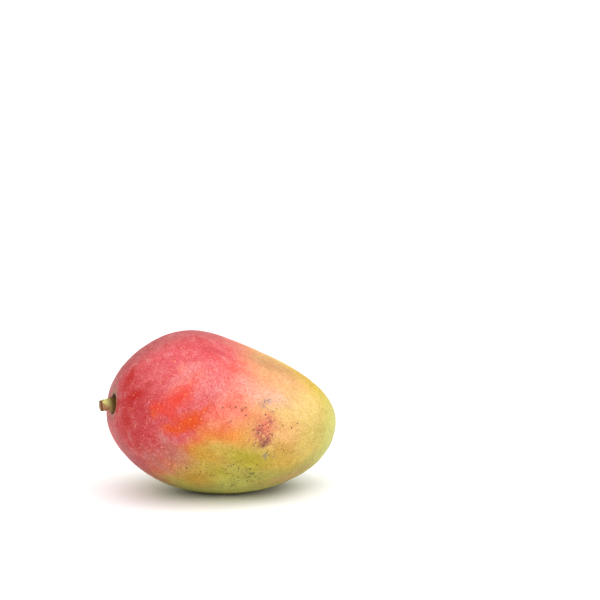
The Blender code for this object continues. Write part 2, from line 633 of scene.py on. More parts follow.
@dataclass(frozen=True)
class Coat:
    """Washes that are laid together, in coordinates that wander by a drift of their own.

    grainy is how much the skin's grain breaks the washes up.
    """

    drift: Drift
    washes: tuple[Wash, ...]
    grainy: float = 0.0


@dataclass(frozen=True)
class Flecks:
    """Small dark specks of one colour, scattered in patches that thin out at their edges.

    spacing and size are in millimetres. A speck's radius is the size times a number that is at
    most the largest. heart is the share of its radius within which it is fully dark.
    """

    tint: Tint
    spacing: float
    size: float
    patches: tuple[Wash, ...]
    largest: float = 1.6
    heart: float = 0.45
    thinning: Span = (-0.02, 0.40)

    def mask(self, bench: Bench, place: Socket, patch_place: Socket, form: MangoForm) -> Value:
        """Where the specks are.

        A speck shows where its own random number is below the strongest patch's mask.

        Args:
            bench: the material.
            place: the coordinates that the specks are scattered in.
            patch_place: the coordinates that the patches are laid in.
            form: the fruit's form.

        Returns:
            The specks' mask.
        """
        crowd = self.patches[0].mask(bench, patch_place, form)
        for patch in self.patches[1:]:
            crowd = crowd.at_least(patch.mask(bench, patch_place, form))
        distance, random = bench.dots(place, self.spacing)
        size = random * (-self.size * MM) + self.size * self.largest * MM
        return distance.ramp(size, size * self.heart) * (crowd - random).ramp(*self.thinning)


UNDERCOATS = (
    Coat(Drift(3.5, 3.0), (
        Wash(Tint.SUN, 0.70, 109, 28, 17, 4, 0.95),
        Wash(Tint.SUN, 0.88, 100, 20, 22, 0, 0.7),
        Wash(Tint.CREAM, 0.46, 150, 30, 19, 0, 0.8),
        Wash(Tint.APRICOT, 0.42, 126, 20, 9, 0, 0.75),
        Wash(Tint.TAN, 0.44, 114, 24, 10, 0, 0.35),
        Wash(Tint.LIME, 0.90, 158, 18, 28, 0, 0.9),
        Wash(Tint.LIME, 0.82, 212, 20, 18, 0, 0.6),
        Wash(Tint.APRICOT, 0.30, 176, 26, 15, 0, 0.85),
        Wash(Tint.OCHRE, 0.36, 199, 26, 10, 4, 0.85),
        Wash(Tint.YELLOW, 0.62, 189, 17, 10, 0, 0.65),
        Wash(Tint.GOLD, 0.33, 186, 16, 8, 0, 0.5),
        Wash(Tint.OCHRE, 0.56, 106, 18, 6, -6, 0.4),
        Wash(Tint.TAN, 0.50, 222, 24, 12, 4, 0.5),
        Wash(Tint.LIME, 0.10, 240, 30, 14, 4, 0.95),
        Wash(Tint.GREEN, 0.06, 198, 18, 10, -6, 0.95),
        Wash(Tint.GREEN, -0.12, 219, 14, 10, -20, 0.8),
        Wash(Tint.SUN, 0.55, 40, 34, 24, 0, 0.7),
        Wash(Tint.OCHRE, 0.30, 5, 26, 16, 0, 0.6),
        Wash(Tint.MOSS, 0.10, 325, 34, 20, 0, 0.8),
        Wash(Tint.LIME, 0.70, 340, 30, 26, 0, 0.6),
    )),
    Coat(Drift(2.6, 1.8), (
        Wash(Tint.CRIMSON, -0.96, 180, 34, 30, 0, 0.9, 0.2),
        Wash(Tint.CRIMSON, -0.78, 218, 20, 13, -20, 0.75),
        Wash(Tint.CRIMSON, -0.35, 108, 22, 8, 0, 0.6),
        Wash(Tint.CORAL, 0.00, 88, 24, 26, 0, 0.6),
        Wash(Tint.CORAL, 0.02, 45, 24, 22, 0, 0.5),
        Wash(Tint.PEACH, 0.20, 80, 26, 24, 0, 0.7),
        Wash(Tint.PEACH, 0.24, 40, 24, 20, 0, 0.5),
        Wash(Tint.PEACH, 0.22, 135, 28, 22, 0, 0.8),
        Wash(Tint.TAN, 0.22, 113, 26, 12, 0, 0.95),
        Wash(Tint.CORAL, -0.02, 140, 20, 24, 0, 0.8),
        Wash(Tint.CORAL, -0.10, 165, 24, 14, 0, 0.9),
        Wash(Tint.ORANGE, -0.17, 183, 20, 10, 0, 0.95),
        Wash(Tint.GOLD, -0.30, 205, 20, 10, 8, 0.85),
        Wash(Tint.GOLD, -0.30, 228, 18, 13, 0, 0.8),
        Wash(Tint.LIME, -0.02, 226, 18, 10, -6, 0.45),
        Wash(Tint.TAN, -0.45, 214, 13, 9, -30, 0.6),
        Wash(Tint.MAUVE, -0.55, 205, 14, 7, -25, 0.8),
        Wash(Tint.MAUVE, -0.60, 228, 18, 10, -10, 0.8),
        Wash(Tint.MAUVE, -0.56, 214, 16, 7, -16, 0.5),
        Wash(Tint.PINK, -0.45, 148, 30, 16, 14, 0.6),
        Wash(Tint.CORAL, -0.28, 172, 20, 11, 0, 0.7),
        # The next three are painted shade over the top of the stem half.
        Wash(Tint.PAINTED_SHADE, -0.85, 84, 28, 15, 0, 0.85),
        Wash(Tint.PAINTED_SHADE, -0.62, 95, 32, 16, 0, 0.8),
        Wash(Tint.PAINTED_SHADE, -0.26, 94, 28, 14, -4, 0.7),
        Wash(Tint.TAN, 0.18, 102, 26, 11, -4, 0.45),
        # Painted shade on the lower edge near the stem end.
        Wash(Tint.PAINTED_SHADE, -0.72, 250, 28, 12, 0, 0.9, 0.2),
        # Painted grey sheen and painted shade on the rim round the stem end.
        Wash(Tint.RIM_SHEEN_AND_SHADE, -0.97, 55, 15, 15, 0, 0.75),
        Wash(Tint.RIM_SHEEN_AND_SHADE, -0.96, 315, 13, 10, 0, 0.75),
    )),
)

TOPCOATS = (
    Coat(Drift(2.6, 2.4), (
        Wash(Tint.CORAL, -0.53, 155, 18, 9, 44, 0.45),
        Wash(Tint.SCARLET, -0.59, 162, 15, 7.5, 44, 0.95, 0.1),
        Wash(Tint.SCARLET, -0.45, 146, 13, 4, 50, 0.75),
        Wash(Tint.SCARLET, -0.61, 176, 9, 3, -14, 0.7),
        Wash(Tint.SCARLET, -0.72, 172, 6, 7, 10, 0.9),
        Wash(Tint.VERMILION, -0.46, 180, 11, 8, 26, 1.0, 0.2),
        Wash(Tint.VERMILION, -0.38, 169, 9, 3, 52, 0.8),
        Wash(Tint.VERMILION, -0.57, 188, 10, 4.5, 14, 0.95, 0.1),
        Wash(Tint.VERMILION, -0.75, 178, 3.5, 6, 10, 0.85),
        Wash(Tint.ROSE, -0.66, 132, 12, 8, 20, 0.65),
        Wash(Tint.CRIMSON, -0.36, 118, 24, 6, -6, 0.25),
        Wash(Tint.CRIMSON, -0.27, 119, 9, 4, -12, 0.5),
        Wash(Tint.CORAL, -0.55, 138, 5, 4, 60, 0.9),
        Wash(Tint.SCARLET, -0.14, 133, 7, 5, 0, 0.5),
        Wash(Tint.PINK, -0.78, 143, 12, 8, 30, 0.35),
        Wash(Tint.WINE, -0.89, 122, 8, 4, 44, 1.0, 0.2),
        Wash(Tint.WINE, -0.88, 158, 8.5, 3.8, 6, 1.0, 0.2),
        Wash(Tint.WINE, -0.80, 149, 6, 3, 24, 0.6),
        Wash(Tint.WINE, -0.92, 192, 9, 3.2, -34, 0.7),
        Wash(Tint.WINE, -0.66, 207, 10, 3, -28, 0.5),
        Wash(Tint.WINE, -0.70, 60, 12, 6, 20, 0.6),
        Wash(Tint.SCARLET, -0.50, 40, 20, 9, -20, 0.6),
        Wash(Tint.CORAL, -0.25, 60, 22, 12, 0, 0.7),
        Wash(Tint.CRIMSON, -0.75, 10, 24, 14, 0, 0.7),
        Wash(Tint.ORANGE, -0.25, 15, 18, 10, 12, 0.7),
        Wash(Tint.MAUVE, -0.60, 320, 22, 14, 0, 0.6),
    )),
    Coat(Drift(1.6, 1.2), (
        Wash(Tint.BLOOM_AND_HIGHLIGHT, -0.44, 141, 13, 10, 20, 0.35),
        Wash(Tint.BLOOM_AND_HIGHLIGHT, -0.58, 150, 10, 6, 40, 0.2),
        Wash(Tint.BLOOM_AND_HIGHLIGHT, -0.25, 152, 16, 10, 0, 0.3),
        # These two are a painted highlight as well as bloom: they lie where the soft highlight shows
        # on the front.
        Wash(Tint.BLOOM_AND_HIGHLIGHT, 0.12, 148, 22, 12, 0, 0.75),
        Wash(Tint.BLOOM_AND_HIGHLIGHT, 0.24, 150, 13, 6, -12, 0.7),
        Wash(Tint.BLOOM_AND_HIGHLIGHT, -0.40, 70, 18, 12, 0, 0.4),
        Wash(Tint.BLOOM_AND_HIGHLIGHT, 0.35, 30, 22, 12, 0, 0.35),
    ), grainy=0.7),
)

STAINS = (
    Wash(Tint.BRICK, 0.15, 173, 9, 13, -20, 0.9, 0.1),
    Wash(Tint.RUSSET, 0.12, 187, 5, 3.5, 40, 0.8),
    Wash(Tint.BRUISE, 0.17, 182, 5, 5, 30, 0.9, 0.1),
    Wash(Tint.BRUISE, 0.10, 177, 4.2, 4.6, 0, 0.75),
    Wash(Tint.PLUM, 0.16, 185, 3.6, 2.8, 40, 0.6),
    Wash(Tint.BRUISE, 0.20, 168, 3.4, 3.4, 0, 0.6),
    Wash(Tint.PLUM, 0.12, 157, 4, 3.6, 45, 0.45),
    Wash(Tint.SLATE, 0.18, 153, 3, 2, 30, 0.7),
    Wash(Tint.SLATE, 0.19, 195, 3, 1.8, -40, 0.7),
    Wash(Tint.OLIVE, 0.17, 108, 5, 1.6, -40, 0.5),
    Wash(Tint.UMBER, 0.45, 190, 6, 0.8, 12, 0.6),
    Wash(Tint.UMBER, -0.15, 174, 1.7, 1.2, 60, 0.8),
    Wash(Tint.UMBER, -0.06, 164, 2.2, 1.2, 30, 0.8),
    Wash(Tint.PEAT, 0.02, 229, 2.4, 1.8, 0, 0.95),
    Wash(Tint.PEAT, 0.07, 209, 2.6, 1.2, -40, 0.8),
    Wash(Tint.PEAT, 0.12, 211, 1.8, 1.5, 0, 1.0),
    Wash(Tint.BRUISE, 0.05, 48, 9, 6, -20, 0.6),
)

FLECKS = (
    Flecks(Tint.PLUM, 1.45, 0.40, (
        Wash(Tint.PLUM, 0.16, 176, 16, 13, 20, 0.9, 0.2),
        Wash(Tint.PLUM, 0.05, 45, 20, 14, 0, 0.7),
    )),
    Flecks(Tint.SLATE, 1.6, 0.42, (
        Wash(Tint.SLATE, 0.15, 156, 13, 8, 0, 0.8),
        Wash(Tint.SLATE, 0.22, 194, 8, 5, 0, 0.7),
    )),
    Flecks(Tint.UMBER, 1.7, 0.46, (
        Wash(Tint.UMBER, -0.10, 165, 16, 8, 0, 0.7),
        Wash(Tint.UMBER, 0.37, 168, 12, 6, 0, 0.8),
        Wash(Tint.UMBER, 0.28, 188, 14, 7, 10, 0.8),
    )),
    Flecks(Tint.PEAT, 1.4, 0.42, (
        Wash(Tint.PEAT, 0.04, 212, 17, 10, 0, 0.9, 0.3),
        Wash(Tint.PEAT, 0.02, 230, 10, 7, 0, 0.9, 0.3),
        Wash(Tint.PEAT, -0.35, 220, 24, 12, 0, 0.6),
        Wash(Tint.PEAT, 0.45, 345, 26, 14, 0, 0.6),
    )),
)


@dataclass(frozen=True)
class SkinFinish:
    """The skin: a red blush over yellow and green, under a thin pale bloom, with its pores, some
    painted shade, a painted rim sheen and a painted highlight.

    A span is where a pattern starts and ends to show, and a share is how much of it shows.
    """

    form: MangoForm
    lie: Lie
    slot: str = "skin"
    ior: float = 1.45
    specular: float = 0.15
    fine_drift: Drift = Drift(1.2, 1.0)
    broad_drift: Drift = Drift(14, 8)
    blush_drift: Drift = Drift(3.5, 3.0)
    mark_drift: Drift = Drift(3, 4)
    grain: Clouds = Clouds(0.9, rough=0.65)
    strokes: Clouds = Clouds(1.3)
    patches: Clouds = Clouds(5)
    sallow: Clouds = Clouds(0.8, 2.0)
    waves: Clouds = Clouds(5, 2.0, 0.5)
    breaks: Clouds = Clouds(1.1, rough=0.7)

    green_lean: float = 0.35
    green_span: Span = (0.006, -0.030)
    blush_lean: float = math.radians(95)
    blush_tilt: float = 0.435
    blush_edge: float = -0.285
    orange_span: Span = (-0.16, 0.06)
    rose_span: Span = (-0.04, 0.22)
    mottle_red: Span = (-0.12, 0.18)
    sallow_red: Span = (-0.2, 0.1)
    pore_red: Span = (-0.12, 0.10)
    grainy_span: Span = (0.20, 0.74)

    stroke_pace: float = 0.12
    stem_half: Span = (0.0, -0.040)
    dark_strokes: Span = (0.55, 0.78)
    dark_share: float = 0.5
    pale_strokes: Span = (0.45, 0.22)
    pale_share: float = 0.25
    patch_share: float = 0.6
    grain_share: float = 0.35
    deepening: Colour = (1.0, 0.62, 0.60)
    deep_span: Span = (0.50, 0.28)
    deep_share: float = 1.15
    paling: Colour = (0.04, 0.11, 0.11)
    lit_span: Span = (0.50, 0.72)
    lit_share: float = 0.8
    patch_light: Span = (0.2, 0.8)
    patch_light_share: float = 0.2
    patch_light_red: float = -0.1
    grain_light: Span = (0.25, 0.75)
    grain_light_share: float = 0.36
    yellowing: Colour = (0.99, 0.96, 0.58)
    sallow_span: Span = (0.58, 0.36)
    sallow_share: float = 0.8

    pore_spacing: float = 2.1
    pore_least: float = 0.22
    pore_growth: float = 0.30
    pore_heart: float = 0.4
    pore_share: float = 0.30
    pore_share_red: float = 0.30
    break_span: Span = (0.32, 0.54)
    fleck_share: float = 0.9
    scar_half: Span = (-0.02, -0.04)
    scar_radius: float = 5.3
    scar_outer: float = 0.5
    scar_inner: float = 0.6
    scar_fade: float = 8.5
    scar_rise: float = 0.7
    scar_share: float = 0.92
    halo_share: float = 0.55
    style_long: float = 1.6
    style_wide: float = 1.4

    roughness: float = 0.45
    wave_gloss: float = 0.25
    mark_gloss: float = 0.15
    cork_gloss: float = 0.35
    pore_relief: float = 0.02
    grain_relief: float = 0.02
    wave_relief: float = 0.12
    cork_relief: float = 0.5
    bump: float = 0.6

    def material(self) -> bpy.types.Material:
        """Builds the skin's material, from the ground colour up to the scar round the stem."""
        bench = Bench(bpy.data.materials.new("mango_skin"))
        place = bench.place(self.lie.matrix())
        close = bench.wander(place, self.fine_drift)
        drift = bench.wander(place, self.broad_drift)
        red = self.blush(bench, bench.wander(drift, self.blush_drift))
        grain = bench.noise(place, self.grain)

        colour = self.ground(bench, drift)
        colour = bench.lay(colour, Tint.ORANGE.value, red.ramp(*self.orange_span))
        colour = bench.lay(colour, Tint.ROSE.value, red.ramp(*self.rose_span))
        colour, drift = self.coated(bench, drift, grain, colour, UNDERCOATS)
        colour = self.mottled(bench, place, grain, colour, red.ramp(*self.mottle_red))
        colour, drift = self.coated(bench, drift, grain, colour, TOPCOATS)
        light = grain.ramp(*self.grain_light)
        colour = bench.lay(colour, light, self.grain_light_share, Blend.SOFTEN)
        sallow = bench.noise(close, self.sallow).ramp(*self.sallow_span)
        sallow = sallow * (1.0 - red.ramp(*self.sallow_red)) * self.sallow_share
        colour = bench.lay(colour, self.yellowing, sallow, Blend.GLAZE)
        colour, pores = self.pored(bench, close, colour, red.ramp(*self.pore_red))
        colour, marks = self.marked(bench, close, colour)
        colour, cork = self.scarred(bench, close, colour)

        waves = bench.noise(place, self.waves)
        relief = pores * self.pore_relief + grain * self.grain_relief
        relief = relief + waves * self.wave_relief + cork * grain * self.cork_relief
        gloss = (waves - 0.5) * self.wave_gloss + self.roughness
        shader = {
            "Base Color": colour,
            "Roughness": gloss + marks * self.mark_gloss + cork * self.cork_gloss,
            "IOR": self.ior,
            "Specular IOR Level": self.specular,
        }
        bench.finish(shader, relief, self.bump, MM)
        return bench.owner

    def blush(self, bench: Bench, place: Socket) -> Value:
        """How far a place lies on the red side of a leaning plane, in shares of the length."""
        along, across, up = bench.parts(place)
        form = self.form
        height = across * (math.cos(self.blush_lean) / (form.breadth / 2))
        height = height + up * (math.sin(self.blush_lean) / (form.height / 2))
        return height * self.blush_tilt + self.blush_edge - along * (2 / form.length)

    def ground(self, bench: Bench, place: Socket) -> Socket:
        """The colour under the blush: yellow above and towards the tip, green underneath."""
        along, _, up = bench.parts(place)
        green = (up - self.green_lean * along).ramp(*self.green_span)
        return bench.lay(Tint.YELLOW.value, Tint.MOSS.value, green)

    def coated(
        self, bench: Bench, place: Socket, grain: Value, colour: Socket, coats: tuple[Coat, ...]
    ) -> tuple[Socket, Socket]:
        """Lays coats of washes over a colour, each in coordinates that wander on from the last.

        Args:
            bench: the material.
            place: the coordinates of the coat before.
            grain: the skin's fine grain.
            colour: the colour below.
            coats: the coats, from the lowest to the top one.

        Returns:
            The colour with its coats, and the coordinates of the last one.
        """
        for coat in coats:
            place = bench.wander(place, coat.drift)
            shown = grain.ramp(*self.grainy_span) * coat.grainy + (1.0 - coat.grainy)
            for wash in coat.washes:
                amount = wash.mask(bench, place, self.form) * shown
                colour = bench.lay(colour, wash.tint.value, amount)
        return colour, place

    def mottled(
        self, bench: Bench, place: Socket, grain: Value, colour: Socket, red: Value
    ) -> Socket:
        """Breaks the washes up: strokes along the fruit, cloudy patches and fine grain.

        Args:
            bench: the material.
            place: the plain coordinates.
            grain: the skin's fine grain.
            colour: the washed colour.
            red: how red the skin is.

        Returns:
            The mottled colour.
        """
        along, _, _ = bench.parts(place)
        strokes = bench.noise(bench.meridian(place, self.stroke_pace), self.strokes)
        near_stem = along.ramp(*self.stem_half) * red
        dark = strokes.ramp(*self.dark_strokes) * near_stem * self.dark_share
        pale = strokes.ramp(*self.pale_strokes) * near_stem * self.pale_share
        colour = bench.lay(colour, Tint.CRIMSON.value, dark)
        colour = bench.lay(colour, Tint.PINK.value, pale)

        patch = bench.noise(place, self.patches)
        for noise, share in ((patch, self.patch_share), (grain, self.grain_share)):
            deep = noise.ramp(*self.deep_span) * red * share * self.deep_share
            lit = noise.ramp(*self.lit_span) * red * share * self.lit_share
            colour = bench.lay(colour, self.deepening, deep, Blend.GLAZE)
            colour = bench.lay(colour, self.paling, lit, Blend.LIGHTEN)
        amount = red * self.patch_light_red + self.patch_light_share
        return bench.lay(colour, patch.ramp(*self.patch_light), amount, Blend.SOFTEN)

    def pored(
        self, bench: Bench, place: Socket, colour: Socket, red: Value
    ) -> tuple[Socket, Value]:
        """Dots the skin with pores, pale in the blush and brown on the yellow.

        Args:
            bench: the material.
            place: the coordinates that they are scattered in.
            colour: the colour below.
            red: how red the skin is.

        Returns:
            The colour with its pores, and how far they stand up.
        """
        distance, random = bench.dots(place, self.pore_spacing)
        size = random * (self.pore_growth * MM) + self.pore_least * MM
        pores = distance.ramp(size, size * self.pore_heart)
        tint = bench.lay(Tint.UMBER.value, Tint.PORE.value, red)
        amount = pores * (red * self.pore_share_red + self.pore_share)
        return bench.lay(colour, tint, amount), pores

    def marked(self, bench: Bench, place: Socket, colour: Socket) -> tuple[Socket, Value]:
        """Adds the bruise, the stains and the dark flecks.

        Args:
            bench: the material.
            place: the finely wandering coordinates.
            colour: the colour below.

        Returns:
            The colour with its marks, and how strongly it is marked.
        """
        rough = bench.wander(place, self.mark_drift)
        broken = bench.noise(place, self.breaks).ramp(*self.break_span)
        marks = None
        for stain in STAINS:
            amount = stain.mask(bench, rough, self.form) * broken
            colour = bench.lay(colour, stain.tint.value, amount)
            marks = amount if marks is None else marks.at_least(amount)
        for flecks in FLECKS:
            amount = flecks.mask(bench, place, rough, self.form) * self.fleck_share
            colour = bench.lay(colour, flecks.tint.value, amount)
            marks = marks.at_least(amount)
        return colour, marks

    def scarred(self, bench: Bench, place: Socket, colour: Socket) -> tuple[Socket, Value]:
        """Adds the corky brown ring round the stem and the small scar on the beak.

        Args:
            bench: the material.
            place: the finely wandering coordinates.
            colour: the colour below.

        Returns:
            The colour with its scars, and how corky it is.
        """
        along, across, up = bench.parts(place)
        aside = bench.reach(across, up - self.scar_rise * MM)
        stem_half = along.ramp(*self.scar_half)
        outer, inner = self.scar_radius + self.scar_outer, self.scar_radius - self.scar_inner
        halo = aside.ramp(self.scar_fade * MM, self.scar_radius * MM) * stem_half
        ring = aside.ramp(outer * MM, inner * MM) * stem_half
        form = self.form
        angle = math.degrees(form.sinus_angle)
        style = Wash(Tint.SCAR, form.style_at, angle, self.style_long, self.style_wide)
        colour = bench.lay(colour, Tint.CORK.value, halo * self.halo_share)
        cork = ring.at_least(style.mask(bench, place, form))
        return bench.lay(colour, Tint.SCAR.value, cork * self.scar_share), cork


class Bark(Enum):
    """The colours of the stem's bark and wood, as linear red, green and blue."""

    STRAW = (0.50, 0.43, 0.15)
    SHOOT = (0.52, 0.50, 0.10)
    # Painted highlight, laid in pale cloudy patches.
    PAINTED_HIGHLIGHT = (0.66, 0.58, 0.34)
    MOSS = (0.18, 0.140, 0.030)
    UNDERSIDE = (0.42, 0.25, 0.11)
    RUST = (0.27, 0.10, 0.045)
    STREAK = (0.26, 0.17, 0.07)
    SPECK = (0.12, 0.06, 0.03)
    # Painted shade at the stem's foot, in the pit.
    FOOT_SHADE = (0.085, 0.042, 0.007)
    WOOD = (0.46, 0.24, 0.11)
    RAY = (0.16, 0.065, 0.03)
    PALE_RING = (0.44, 0.29, 0.15)
    PITH = (0.07, 0.035, 0.02)
    RIM = (0.12, 0.050, 0.022)


class Pattern(Enum):
    """What the layers of the bark follow. The first two are measured in millimetres."""

    SIDE = "how far above the stem's axis"
    HEIGHT = "how far out along the stem"
    CLOUDS = "cloudy patches"
    FIBRES = "strokes along the stem"
    BLOTS = "blots that grow towards the cut and underneath"


@dataclass(frozen=True)
class Layer:
    """A colour of the bark, and where its pattern starts and ends to show it."""

    tint: Bark
    pattern: Pattern
    start: float
    end: float
    share: float = 1.0


@dataclass(frozen=True)
class BarkFinish:
    """The stem's bark, pale green and tan with rusty blotches, pale patches of painted highlight and
    painted shade at its foot, and the wood of its cut end.

    The spans of the ring, the pith and the rim are shares of the cut's radius, and the face's
    span is in millimetres below its top.
    """

    seat: Matrix
    length: float
    slant: float
    radius: float
    slot: str = "bark"
    specular: float = 0.15
    roughness: float = 0.62
    cloud_gloss: float = 0.25
    layers: tuple[Layer, ...] = (
        Layer(Bark.UNDERSIDE, Pattern.SIDE, -0.2, -2.8),
        Layer(Bark.SHOOT, Pattern.SIDE, 0.0, 2.2, 0.7),
        # Pale cloudy patches of painted highlight.
        Layer(Bark.PAINTED_HIGHLIGHT, Pattern.CLOUDS, 0.44, 0.58, 0.85),
        Layer(Bark.MOSS, Pattern.HEIGHT, 4.8, 2.2, 0.9),
        Layer(Bark.STREAK, Pattern.FIBRES, 0.52, 0.68, 0.7),
        Layer(Bark.RUST, Pattern.BLOTS, 0.66, 0.74, 0.85),
    )
    fibres: Clouds = Clouds(0.5)
    fibre_scale: Colour = (1.0, 1.0, 0.22)
    clouds: Clouds = Clouds(1.5)
    blots: Clouds = Clouds(1.2, 2.0)
    blot_drift: Drift = Drift(3, 5)
    blot_rise: float = 0.045
    blot_fall: float = -0.03
    speck_drift: Drift = Drift(0.6, 0.4)
    speck_spacing: float = 1.1
    speck_size: Span = (0.34 * MM, 0.12 * MM)
    speck_chance: Span = (0.4, 0.5)
    speck_share: float = 0.8
    # Where and how strongly the painted shade darkens the stem's foot.
    foot_shade_span: Span = (2.4, 1.2)
    foot_shade_share: float = 0.95
    fibre_relief: float = 0.12
    cloud_relief: float = 0.08
    speck_relief: float = 0.05
    rust_relief: float = 0.06
    bump: float = 0.8
    rays: Clouds = Clouds(0.35, rough=0.7)
    ray_scale: Colour = (1.0, 1.0, 0.1)
    ray_span: Span = (0.42, 0.62)
    ring_inside: Span = (0.50, 0.60)
    ring_outside: Span = (0.78, 0.68)
    ring_share: float = 0.7
    pith_span: Span = (0.26, 0.12)
    rim_span: Span = (0.76, 0.86)
    wood_share: float = 0.9
    face_span: Span = (1.15, 0.75)

    def material(self) -> bpy.types.Material:
        """Builds the stem's material."""
        bench = Bench(bpy.data.materials.new("mango_stem"))
        place = bench.place(self.seat)
        up, _, out = bench.parts(place)
        side, height = up * (1.0 / MM), out * (1.0 / MM)
        fibres = bench.noise(bench.stretched(place, self.fibre_scale), self.fibres)
        clouds = bench.noise(place, self.clouds)
        blots = bench.noise(bench.wander(place, self.blot_drift), self.blots)
        distance, random = bench.dots(bench.wander(place, self.speck_drift), self.speck_spacing)
        patterns = {
            Pattern.SIDE: side,
            Pattern.HEIGHT: height,
            Pattern.CLOUDS: clouds,
            Pattern.FIBRES: fibres,
            Pattern.BLOTS: blots + height * self.blot_rise + side * self.blot_fall,
        }

        colour = Bark.STRAW.value
        shown = {}
        for layer in self.layers:
            shown[layer.tint] = patterns[layer.pattern].ramp(layer.start, layer.end)
            colour = bench.lay(colour, layer.tint.value, shown[layer.tint] * layer.share)
        specks = distance.ramp(*self.speck_size) * random.ramp(*self.speck_chance)
        colour = bench.lay(colour, Bark.SPECK.value, specks * self.speck_share)
        # Painted shade darkens the foot of the stem, where it sinks into the pit.
        foot_shade = height.ramp(*self.foot_shade_span) * self.foot_shade_share
        colour = self.cut(bench, place, bench.lay(colour, Bark.FOOT_SHADE.value, foot_shade))

        relief = fibres * self.fibre_relief + clouds * self.cloud_relief
        relief = relief - specks * self.speck_relief - shown[Bark.RUST] * self.rust_relief
        shader = {
            "Base Color": colour,
            "Roughness": self.roughness + clouds * self.cloud_gloss,
            "Specular IOR Level": self.specular,
        }
        bench.finish(shader, relief, self.bump, MM)
        return bench.owner

    def cut(self, bench: Bench, place: Socket, colour: Socket) -> Socket:
        """Colours the cut: a dark rim, reddish-brown wood with a paler ring, and dark pith."""
        across, aside, out = bench.parts(place)
        radius = bench.reach(across, aside) * (1.0 / self.radius)
        height = (out + across * math.tan(self.slant)) * (1.0 / MM)
        below, above = (self.length / MM - depth for depth in self.face_span)
        rays = bench.noise(bench.stretched(place, self.ray_scale), self.rays)
        ring = radius.ramp(*self.ring_inside) * radius.ramp(*self.ring_outside)
        wood = bench.lay(Bark.WOOD.value, Bark.RAY.value, rays.ramp(*self.ray_span))
        wood = bench.lay(wood, Bark.PALE_RING.value, ring * self.ring_share)
        wood = bench.lay(wood, Bark.PITH.value, radius.ramp(*self.pith_span) * self.wood_share)
        wood = bench.lay(wood, Bark.RIM.value, radius.ramp(*self.rim_span) * self.wood_share)
        return bench.lay(colour, wood, height.ramp(below, above))


